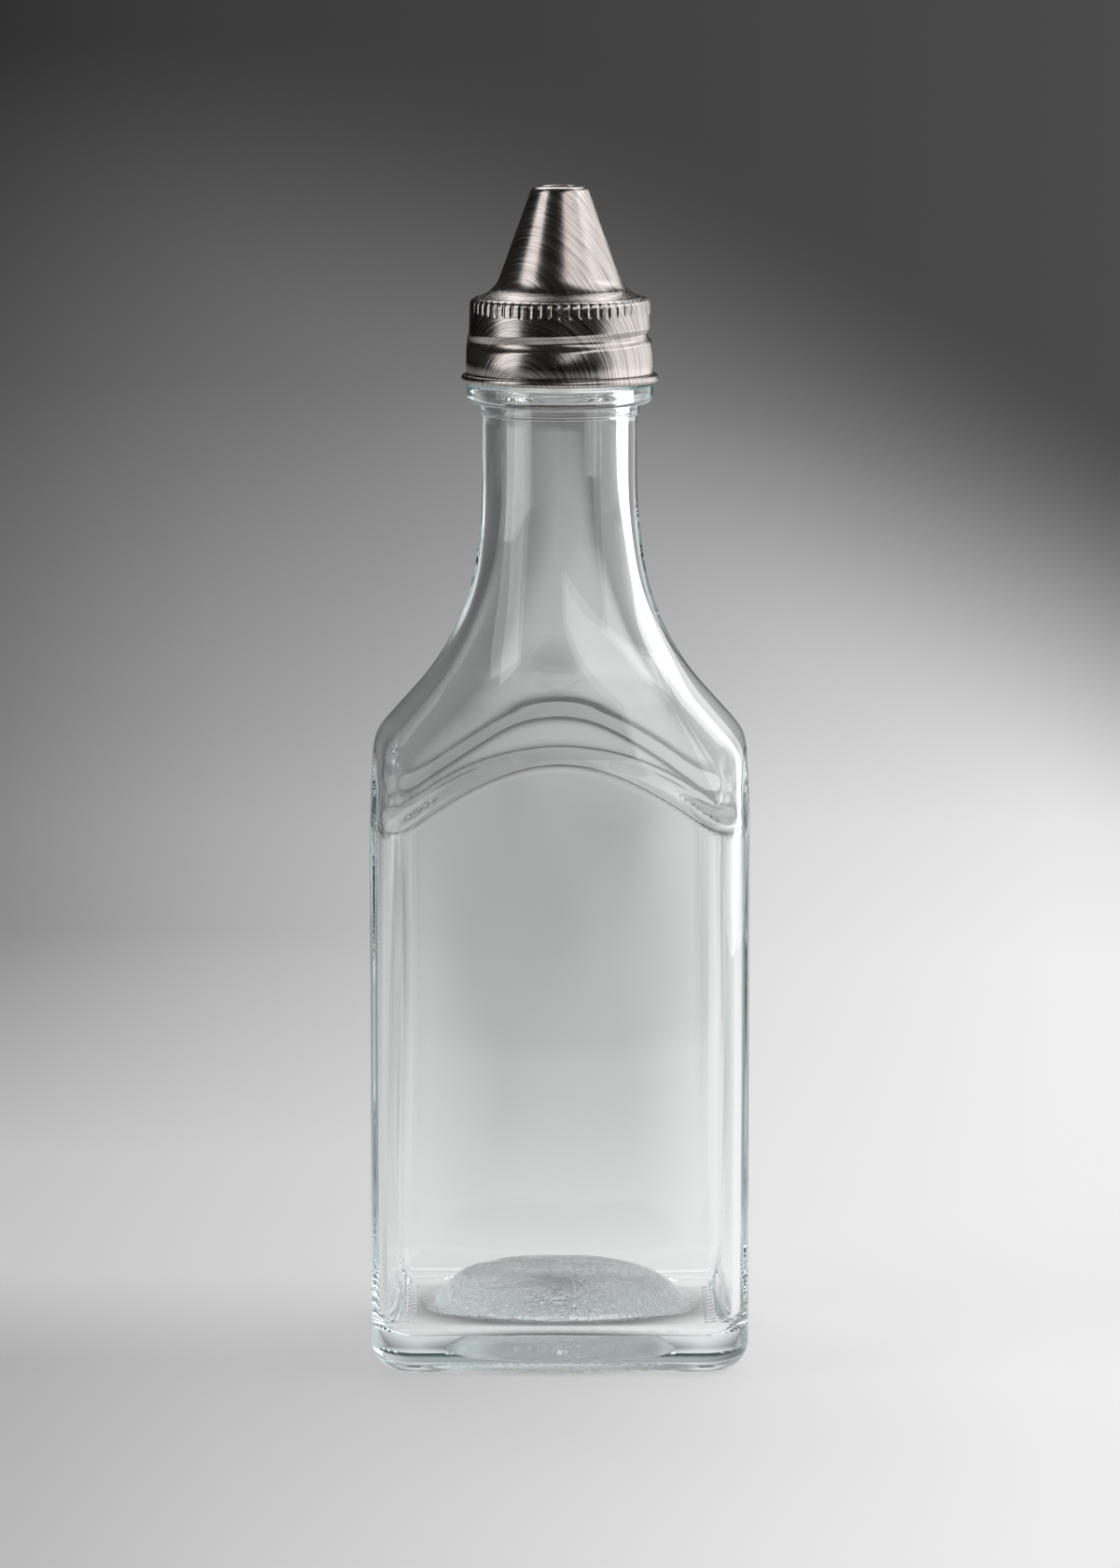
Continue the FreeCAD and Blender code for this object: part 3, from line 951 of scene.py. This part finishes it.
    def ripples(self, radius: np.ndarray, angle: np.ndarray, inside: np.ndarray) -> np.ndarray:
        """Makes the floor's dome and the punt under it uneven, but not their rims.

        Args:
            radius: each point's distance from the axis.
            angle: its angle about the axis.
            inside: whether it is in the cavity.

        Returns:
            How far the surface is lifted there.
        """
        across, back = radius * np.cos(angle), radius * np.sin(angle)
        wave = np.sin(back / 1.5 + across / 9) + 0.7 * np.sin(across / 2.6 - back / 6 + 1.3)
        wave = np.where(inside, wave, 0.8 * np.sin(radius / 1.4 + across / 7) - 0.3)
        return self.ripple_height * wave * (1 - ease(radius, *self.ripple_edge))

    def shape(
        self, rings: list[Ring], outside: int, station: np.ndarray, index: np.ndarray
    ) -> np.ndarray:
        """Squares the turned piece off, and adds what isn't turned.

        Args:
            rings: the bottle's rings.
            outside: how many of them are on the outside.
            station: the ring that each point is on.
            index: its number round the ring.

        Returns:
            Where the points go, one row each.
        """
        out, up, half, corner, square, even = np.array(rings)[station].T
        evenly = (index - self.side_steps / 2) / self.steps * FULL_TURN
        angle = self.square_angles(half, corner, index) * (1 - even) + evenly * even
        reach = self.square_reach(half, corner, angle)
        inside = station >= outside
        softness = np.where(inside, self.cavity_softness, self.arch_softness)
        softness = softness + self.back_softness * ease(np.sin(angle), *self.back_start)
        radius = np.where(
            square == CUT, soft_min(out, reach, softness), out * (1 - square) + reach * square
        )
        at_foot = (radius < self.dome_radius) & (up < self.floor + self.dome_height + 1)
        up = up + np.where(at_foot, self.ripples(radius, angle, inside), 0)
        fade = ease(up, *self.wave_foot) * (1 - ease(up, *self.wave_top))
        radius = radius + np.where(inside, self.waves(angle, up) * fade, 0)
        on_finish = (~inside) & (np.abs(radius - self.finish_radius) < self.finish_margin)
        on_finish &= up > self.finish_foot
        radius = radius + np.where(on_finish, self.thread(angle, up), 0)
        x, y = radius * np.cos(angle), radius * np.sin(angle)
        quarter = np.rint(angle / QUARTER_TURN) * QUARTER_TURN
        along = -x * np.sin(quarter) + y * np.cos(quarter)
        bulge = self.bulge(up, along) * (out > reach)
        x, y = x + bulge * np.cos(quarter), y + bulge * np.sin(quarter)
        notched = (~inside) & (half > self.knurl_reach - self.knurl_margin / 2) & (up < self.knurl_height)
        notched &= (square == 1) & (half < self.half)
        lift = np.where(notched, (self.knurl_height - up) * self.knurl(along), 0)
        return np.stack((x, y, up + lift), 1)

    def build(self, finish: ClearGlass) -> bpy.types.Object:
        """Models and dresses the bottle.

        Args:
            finish: what it is made of.

        Returns:
            The piece.
        """
        outside = self.foot() + self.squared(walk(self.outside()), self.half, self.corner)
        cavity = self.squared(walk(self.inside())[1:], self.inside_half, self.cavity_corner)
        rings = outside + cavity + self.cavity_floor()
        outline = np.array([(ring.out, ring.up) for ring in rings])
        piece = turn_outline("cruet_bottle", outline, self.steps, closed=False)
        finish_shape(piece, self.shape(rings, len(outside), *read_turned(piece, self.steps)))
        piece.data.materials.append(finish.material())
        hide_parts(Node.BOTTLE.value)
        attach(piece, "root")
        return piece


# ---------------------------------------------------------------- cap


@dataclass
class SteelCap:
    """The cap: a conical spout on a grooved and fluted skirt, in millimetres."""

    sheet: float = 0.4
    rim: float = 155.75
    curl_radius: float = 0.65
    curl_gap: float = 0.06
    skirt_rim_radius: float = 14.85
    skirt_top_radius: float = 14.35
    skirt_top: float = 169.04
    top_rounding: float = 1.2
    spout_radius: float = 10.6
    spout_foot: float = 169.74
    spout_sweep: float = 5.0
    tip_radius: float = 4.4
    tip: float = 186.86
    tip_rounding: float = 1.3
    hole_radius: float = 2.9
    groove_start: float = 161.8
    groove_lead: float = 3.175
    groove_rise: Span = (0.0, 0.12)
    groove_fall: Span = (0.8, 0.95)
    groove_depth: float = 0.7
    groove_half_width: float = 1.25
    band_bulge: float = 0.28
    flute_count: int = 56
    flute_foot: float = 166.7
    flute_fade: Span = (-0.15, 0.25)
    flute_depth: float = 0.15
    flute_half_width: float = 0.26
    flute_steps: tuple[float, ...] = (0.0, 0.09, 0.18, 0.31, 0.5, 0.69, 0.82, 0.91)
    brush_across: float = 6.5
    brush_height: float = 154.5
    spout_brush_radius: float = 9.0
    spout_brush_rise: float = 12.5
    spout_brush_fade: float = 1.5

    def outline(self) -> tuple[np.ndarray, int]:
        """Lays out the sheet, its thickness measured square to its middle.

        Returns:
            The points of its closed outline, and how many of them are on its outside.
        """
        level = self.rim + self.curl_radius
        outside = walk([
            Bend(self.skirt_rim_radius, level, run=0.22),
            Bend(self.skirt_top_radius, self.skirt_top, self.top_rounding, 0.8, 0.16),
            Bend(self.spout_radius, self.spout_foot, self.spout_sweep, 1.0, 0.25),
            Bend(self.tip_radius, self.tip, self.tip_rounding, 0.3, 0.2),
            Bend(self.hole_radius, self.tip, 0.12, 0.2, 0.1),
            Bend(self.hole_radius, self.tip - self.sheet / 2),
        ])
        top_width = self.skirt_top_radius - self.spout_radius
        slope = math.atan2(self.spout_foot - self.skirt_top, top_width)
        under_top = self.sheet / math.cos(slope)
        lean = math.atan2(self.spout_radius - self.tip_radius, self.tip - self.spout_foot)
        beside = self.sheet / math.cos(lean)
        fall = math.tan(slope)
        foot_out = self.spout_radius - beside
        foot_up = self.spout_foot - under_top + (self.spout_radius - foot_out) * fall
        foot_out -= (foot_up - self.spout_foot) * math.tan(lean)
        top_out = self.skirt_top_radius - self.sheet
        top_up = self.spout_foot - under_top - (top_out - self.spout_radius) * fall
        tip_out = self.tip_radius - beside + self.sheet * math.tan(lean)
        under_tip = self.tip - self.sheet
        inside = walk([
            Bend(self.hole_radius, self.tip - self.sheet / 2, run=0.2),
            Bend(self.hole_radius, under_tip, 0.0, 0.3, 0.2),
            Bend(tip_out, under_tip, self.tip_rounding - self.sheet, 1.6, 0.3),
            Bend(foot_out, foot_up, self.spout_sweep + self.sheet, 1.0, 0.4),
            Bend(top_out, top_up, self.top_rounding - self.sheet, 0.42, 0.3),
            Bend(self.skirt_rim_radius - self.sheet, level),
        ])
        centre = self.skirt_rim_radius - self.sheet + self.curl_radius, level
        to_skirt = self.skirt_rim_radius + self.curl_gap - centre[0]
        end = 360 + math.degrees(math.acos(to_skirt / self.curl_radius))
        rolled = arc(centre, self.curl_radius, 180, end, 0.16)
        back = arc(centre, self.curl_radius - self.sheet, end, 180, 0.12)
        return np.concatenate((outside, inside[1:], rolled[1:], back[:-1])), len(outside)

    def groove(self, angle: np.ndarray, up: np.ndarray) -> np.ndarray:
        """Presses the helical groove in.

        Args:
            angle: each point's angle about the axis.
            up: its height.

        Returns:
            How deep the groove is there.
        """
        along = (angle / FULL_TURN + 0.5) % 1
        middle = self.groove_start + self.groove_lead * along
        share = np.clip(1 - ((up - middle) / self.groove_half_width) ** 2, 0, None) ** 1.5
        ends = ease(along, *self.groove_rise) * (1 - ease(along, *self.groove_fall))
        return self.groove_depth * share * ends

    def bulge(self, angle: np.ndarray, up: np.ndarray) -> np.ndarray:
        """Lets the band under the groove stand out.

        Args:
            angle: each point's angle about the axis.
            up: its height.

        Returns:
            How far the band stands out there.
        """
        along = (angle / FULL_TURN + 0.5) % 1
        top = self.groove_start + self.groove_lead * along - self.groove_half_width + 0.2
        foot = self.rim + 2 * self.curl_radius - 0.1
        share = np.clip((up - foot) / (top - foot), 0, 1)
        return self.band_bulge * np.sin(math.pi * share) ** 1.2

    def flutes(self, angle: np.ndarray, up: np.ndarray) -> np.ndarray:
        """Presses the short upright flutes in.

        Args:
            angle: each point's angle about the axis.
            up: its height.

        Returns:
            How deep the flutes are there.
        """
        pitch = FULL_TURN / self.flute_count
        off = np.abs((angle / pitch + 0.5) % 1 - 0.5) * pitch * self.skirt_top_radius
        across = np.clip(1 - (off / self.flute_half_width) ** 2, 0, None)
        start, end = (self.flute_foot + fade for fade in self.flute_fade)
        return self.flute_depth * across * ease(up, start, end)

    def shape(
        self, outline: np.ndarray, outside: int, station: np.ndarray, index: np.ndarray
    ) -> np.ndarray:
        """Presses the groove, the band and the flutes into the turned sheet.

        Args:
            outline: the sheet's outline.
            outside: how many of its points are on its outside.
            station: each point's place on the outline.
            index: its number round the ring.

        Returns:
            Where the points go, one row each.
        """
        flute, step = np.divmod(index, len(self.flute_steps))
        angle = (flute + np.array(self.flute_steps)[step]) / self.flute_count * FULL_TURN
        radius, up = outline[station].T
        on_skirt = (up > self.rim + 2 * self.curl_radius) & (up < self.skirt_top)
        on_skirt &= radius > self.skirt_top_radius - self.top_rounding - self.sheet
        pressed = self.groove(angle, up) + self.flutes(angle, up) * (station < outside)
        radius = radius - np.where(on_skirt, pressed - self.bulge(angle, up), 0)
        return np.stack((radius * np.cos(angle), radius * np.sin(angle), up), 1)

    def add_brush_map(self, piece: bpy.types.Object) -> None:
        """Maps the sheet by distance from the brush wheel's centre and angle about it.

        Args:
            piece: the cap's finished shape.
        """
        x, y, up = read_points(piece).T
        around = np.arctan2(x, -y) + QUARTER_TURN
        around = np.abs(around % FULL_TURN - math.pi) - QUARTER_TURN
        on_spout = ease(up, self.skirt_top, self.skirt_top + self.spout_brush_fade)
        radius = np.hypot(x, y) * (1 - on_spout) + self.spout_brush_radius * on_spout
        across = -around * radius + self.brush_across
        rise = up - (self.brush_height + self.spout_brush_rise * on_spout)
        distance = np.hypot(across, rise)
        places = np.stack((distance * MM, np.arctan2(rise, across) * distance * MM), 1)
        corners = np.zeros(len(piece.data.loops), np.int32)
        piece.data.loops.foreach_get("vertex_index", corners)
        uv = piece.data.uv_layers.new(name="brush")
        uv.data.foreach_set("uv", places[corners].astype(np.float32).ravel())

    def build(self, finish: BrushedSteel) -> bpy.types.Object:
        """Models and dresses the cap.

        Args:
            finish: what it is made of.

        Returns:
            The piece.
        """
        outline, outside = self.outline()
        steps = self.flute_count * len(self.flute_steps)
        piece = turn_outline("cruet_cap", outline, steps, closed=True)
        finish_shape(piece, self.shape(outline, outside, *read_turned(piece, steps)))
        self.add_brush_map(piece)
        piece.data.materials.append(finish.material())
        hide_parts(Node.CAP.value)
        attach(piece, "root")
        return piece


# ---------------------------------------------------------------- studio


@dataclass(frozen=True)
class Eye:
    """The camera, in metres and degrees, in front of the cruet and looking at it."""

    distance: float = 1.2
    height: float = 0.25296
    pitch: float = -7.69
    lens: float = 173.07

    def build(self) -> None:
        """Makes the camera and lets the scene use it."""
        data = bpy.data.cameras.new("eye")
        data.sensor_width = 36.0
        data.lens = self.lens
        data.clip_end = 100.0
        camera = bpy.data.objects.new("eye", data)
        camera.location = (0, -self.distance, self.height)
        camera.rotation_euler = (QUARTER_TURN + math.radians(self.pitch), 0, 0)
        bpy.context.scene.collection.objects.link(camera)
        bpy.context.scene.camera = camera


@dataclass(frozen=True)
class SoftBox:
    """A soft lamp, in metres, that faces a point above the table."""

    name: str
    place: tuple[float, float, float]
    width: float
    height: float
    glow: float
    aim: tuple[float, float, float]

    def build(self) -> None:
        """Makes the lamp."""
        data = bpy.data.lights.new(self.name, "AREA")
        data.shape = "RECTANGLE"
        data.size, data.size_y = self.width, self.height
        data.energy = self.glow * math.pi * self.width * self.height
        lamp = bpy.data.objects.new(self.name, data)
        bpy.context.scene.collection.objects.link(lamp)
        look = np.array(self.aim) - np.array(self.place)
        pan = math.atan2(look[0], -look[1])
        lift = math.atan2(look[2], math.hypot(look[0], look[1]))
        lamp.location = self.place
        lamp.rotation_euler = (QUARTER_TURN + lift, 0, pan + math.pi)
        lamp.visible_camera = False


@dataclass(frozen=True)
class PaleTable:
    """A pale table painted with light and shade: it falls off to a grey distance, with a painted slanting
    shadow over it and painted shadows of the bottle.

    How near a place is and how far to the right are counted from 0 to 1, as the
    eye sees it.

    Attributes:
        eye: the camera.
        nearest: distance from the eye in front of which nothing changes, in metres.
        near_gain: nearness for each part of slope down from the eye.
        near_start: nearness straight ahead of it.
        side_gain: how much further right for each part of slope to the side.
        lit: painted light falloff, the greys of the table by nearness.
        rightness: painted light falloff, the greys from left to right.
        bite: how strongly these bear on the table, by nearness.
        shade: how much nearness adds along the shade's slant, where it starts, and how
            much rightness takes away.
        shade_edge: where the painted shadow starts and stops along its slant.
        dark: the grey in the painted shadow at the left, and how much paler it is at the right.
        painted_shadow_behind: painted shadow of the bottle: how much greyer the table is through glass,
            in line with the bottle.
        behind_sides: distances from the middle over which that fades.
        behind_far: nearness over which it starts.
        behind_near: nearness over which it ends.
        through_glass: the least grey of the table's painted light that glass shows.
        painted_contact_shadow: painted shadow under the foot: share of the grey that is left under its
        middle, and the distances from the axis over which the rest comes back.
        front: where the table starts for what mirrors it, in metres; mirrors see painted black in front
            of it.
        sides: where it ends at the left and the right, with painted black beyond for mirrors.
        drawn: share of the table's light that is drawn and not lit, near and far.
        drawn_far: places over which that changes.
    """

    eye: Eye
    nearest: float = 0.3
    near_gain: float = 4.864
    near_start: float = -0.172
    side_gain: float = 6.73
    # Painted light: the table's greys fall off into the distance and to the left.
    lit: tuple[Span, ...] = (
        (0, 0.1), (0.22, 0.305), (0.366, 0.546), (0.44, 0.665), (0.51, 0.8), (0.6, 0.88), (1, 0.95),
    )
    rightness: tuple[Span, ...] = (
        (0, 0.3), (0.2, 0.48), (0.31, 0.56), (0.5, 0.7), (0.7, 0.87), (0.95, 1),
    )
    bite: tuple[Span, ...] = (
        (0, 1), (0.58, 0.98), (0.73, 0.5), (0.81, 0.42), (0.87, 0.66), (1, 0.58),
    )
    # Painted shadow: a slanting, soft-edged shade painted into the table's greys.
    shade: tuple[float, float, float] = (1.64, 0.177, 0.756)
    shade_edge: Span = (-0.2, 0.3)
    dark: Span = (0.035, 0.035)
    # Painted shadow of the bottle on the table past it, seen through glass.
    painted_shadow_behind: float = 0.33
    behind_sides: Span = (0.05, 0.165)
    behind_far: Span = (0.43, 0.51)
    behind_near: Span = (0.67, 0.86)
    through_glass: float = 0.13
    # Painted shadow under the bottle's foot.
    painted_contact_shadow: tuple[float, Span] = (0.2, (0.018, 0.03))
    front: Span = (-0.39, -0.33)
    sides: Span = (0.68, 0.74)
    drawn: Span = (0.62, 1.0)
    drawn_far: Span = (0.05, 0.6)

    def falloff(self, nodes: Nodes, across: Socket, back: Socket, through: Socket) -> Socket:
        """Draws the table's greys, with their painted falloff and painted shadows.

        Args:
            nodes: the material's nodes.
            across: place on the table from left to right, in metres.
            back: place from front to back, in metres.
            through: 1 where the place is seen through glass.

        Returns:
            The grey at that place.
        """
        away = nodes.math("MAXIMUM", nodes.math("ADD", back, self.eye.distance), self.nearest)
        down = nodes.math("DIVIDE", self.eye.height, away)
        near = nodes.math("MULTIPLY_ADD", down, self.near_gain, self.near_start, clamp=True)
        aside = nodes.math("DIVIDE", across, away)
        side = nodes.math("MULTIPLY_ADD", aside, self.side_gain, 0.5, clamp=True)
        off_middle = nodes.math("ABSOLUTE", nodes.math("SUBTRACT", side, 0.5))
        # Painted shadow of the bottle on the table past it, seen only through glass.
        painted_shadow_behind = nodes.times(
            nodes.ramp(off_middle, self.behind_sides, self.painted_shadow_behind, 0.0),
            nodes.ramp(near, self.behind_far, 0.0, 1.0),
            nodes.ramp(near, self.behind_near, 1.0, 0.0),
            through,
        )
        # Painted light falloff: the table darkens to the left and into the distance.
        left = nodes.times(
            nodes.rest(nodes.greys(side, self.rightness)), nodes.greys(near, self.bite)
        )
        bright = nodes.times(nodes.greys(near, self.lit), nodes.rest(left), nodes.rest(painted_shadow_behind))
        # Painted shadow: past a soft slanting edge the table turns to the dark grey.
        by_near, start, by_side = self.shade
        rise = nodes.math("MULTIPLY_ADD", near, by_near, start)
        slant = nodes.math("SUBTRACT", rise, nodes.times(side, by_side))
        clear = nodes.ramp(slant, self.shade_edge, 0.0, 1.0)
        dark = nodes.math("MULTIPLY_ADD", side, self.dark[1], self.dark[0])
        return nodes.math("MULTIPLY_ADD", nodes.math("SUBTRACT", bright, dark), clear, dark)

    def material(self) -> bpy.types.Material:
        """Builds the table: lit where the eye sees it near by, and drawn elsewhere.

        Returns:
            The material.
        """
        material, nodes, shader, output = new_material("pale_table")
        shader.inputs["Roughness"].default_value = 1.0
        shader.inputs["Specular IOR Level"].default_value = 0.0
        place = nodes.add("ShaderNodeTexCoord").outputs["Object"]
        across, back, _ = nodes.split(place)
        path = nodes.add("ShaderNodeLightPath").outputs
        glossy, through = path["Is Glossy Ray"], path["Is Transmission Ray"]
        grey = self.falloff(nodes, across, back, through)
        nodes.join(grey, shader.inputs["Base Color"])
        on_table = nodes.times(
            nodes.ramp(back, self.front, 0.0, 1.0),
            nodes.ramp(nodes.math("ABSOLUTE", across), self.sides, 1.0, 0.0),
        )
        # Painted shade in reflections: mirrors see the table black in front of its front edge and beyond
        # its sides.
        mirrored = nodes.math("GREATER_THAN", nodes.math("SUBTRACT", glossy, through), 0.5)
        off_table = nodes.times(mirrored, nodes.rest(on_table))
        # Painted shadow: the table is greyer under the bottle's foot.
        under, rim = self.painted_contact_shadow
        grey = nodes.times(grey, nodes.ramp(nodes.from_axis(place), rim, under, 1.0))
        # Painted light: glass never shows the table darker than this grey.
        grey = nodes.math("MAXIMUM", grey, nodes.times(through, self.through_glass))
        # Painted light: the table glows with its painted greys for what mirrors it and what glass shows,
        # and partly for the eye, fully far off.
        glow = nodes.add("ShaderNodeEmission", Strength=1.0)
        nodes.join(nodes.times(grey, nodes.rest(off_table)), glow.inputs["Color"])
        drawn = nodes.times(path["Is Camera Ray"], nodes.ramp(back, self.drawn_far, *self.drawn))
        mix = nodes.add("ShaderNodeMixShader")
        share = nodes.math("MAXIMUM", nodes.math("MAXIMUM", glossy, through), drawn)
        nodes.join(share, mix.inputs[0])
        nodes.join(shader.outputs["BSDF"], mix.inputs[1])
        nodes.join(glow.outputs["Emission"], mix.inputs[2])
        nodes.join(mix.outputs["Shader"], output.inputs["Surface"])
        return material


@dataclass(frozen=True)
class Room:
    """A dim room, paler where it is seen through glass.

    Attributes:
        dim: its grey.
        pale: how much paler it is through glass, level and above.
        pale_rise: directions over which that changes, 0 level and 1 straight up.
        right: how much paler it is at the right than at the left.
        right_span: directions over which that changes, -1 left and 1 right.
        above: share of the paleness overhead.
        above_rise: directions over which that changes.
    """

    dim: float = 0.02
    pale: Span = (0.1, 0.2)
    pale_rise: Span = (0.0, 0.4)
    right: float = 0.5
    right_span: Span = (-0.6, 0.6)
    above: float = 0.25
    above_rise: Span = (0.2, 0.5)

    def build(self) -> None:
        """Makes the world."""
        world = bpy.data.worlds.new("room")
        world.use_nodes = True
        nodes = Nodes(world.node_tree)
        through = nodes.add("ShaderNodeLightPath").outputs["Is Transmission Ray"]
        right, _, rise = nodes.split(nodes.add("ShaderNodeTexCoord").outputs["Generated"])
        pale = nodes.math(
            "ADD",
            nodes.ramp(rise, self.pale_rise, *self.pale),
            nodes.ramp(right, self.right_span, 0.0, self.right),
        )
        pale = nodes.times(pale, nodes.ramp(rise, self.above_rise, 1.0, self.above))
        grey = nodes.math("MULTIPLY_ADD", through, pale, self.dim)
        nodes.join(grey, world.node_tree.nodes["Background"].inputs["Color"])
        bpy.context.scene.world = world


@dataclass(frozen=True)
class Studio:
    """The table, the room, the lamps and the camera."""

    eye: Eye = Eye()
    room: Room = Room()
    table_size: float = 40.0
    lamps: tuple[SoftBox, ...] = (
        SoftBox("right_box", (0.475, -0.55, 0.86), 2.17, 0.7, 1.5, (0.0, -0.426, 0.86)),
        SoftBox("right_low_box", (0.44, 0.20, 0.25), 0.95, 0.5, 1.5, (0.0, 0.15, 0.25)),
        SoftBox("left_strip", (-0.86, -0.32, 0.62), 0.54, 1.2, 1.8, (0.0, 0.0, 0.62)),
        SoftBox("top_box", (0.0, 0.67, 0.99), 1.1, 0.6, 2.7, (0.0, 0.0, 0.12)),
    )
    bounces: int = 32

    def build_table(self) -> None:
        """Makes the table's top."""
        bpy.ops.object.select_all(action="DESELECT")
        bpy.ops.mesh.primitive_plane_add(size=self.table_size)
        floor = bpy.context.object
        floor.name = floor.data.name = "table_top"
        floor.data.materials.append(PaleTable(self.eye).material())

    def build(self) -> None:
        """Sets the whole stage."""
        self.build_table()
        self.room.build()
        for lamp in self.lamps:
            lamp.build()
        self.eye.build()
        bpy.context.scene.view_settings.view_transform = "Standard"
        paths = bpy.context.scene.cycles
        paths.max_bounces = paths.glossy_bounces = paths.transmission_bounces = self.bounces


def main() -> None:
    """Builds the cruet and its stage, and notes the sizes."""
    logging.basicConfig(level=logging.INFO)
    for piece in (GlassBottle().build(ClearGlass()), SteelCap().build(BrushedSteel())):
        mesh = piece.data
        LOG.info("%s: %d vertices, %d faces", piece.name, len(mesh.vertices), len(mesh.polygons))
    Studio().build()


if __name__ == "__main__":
    main()
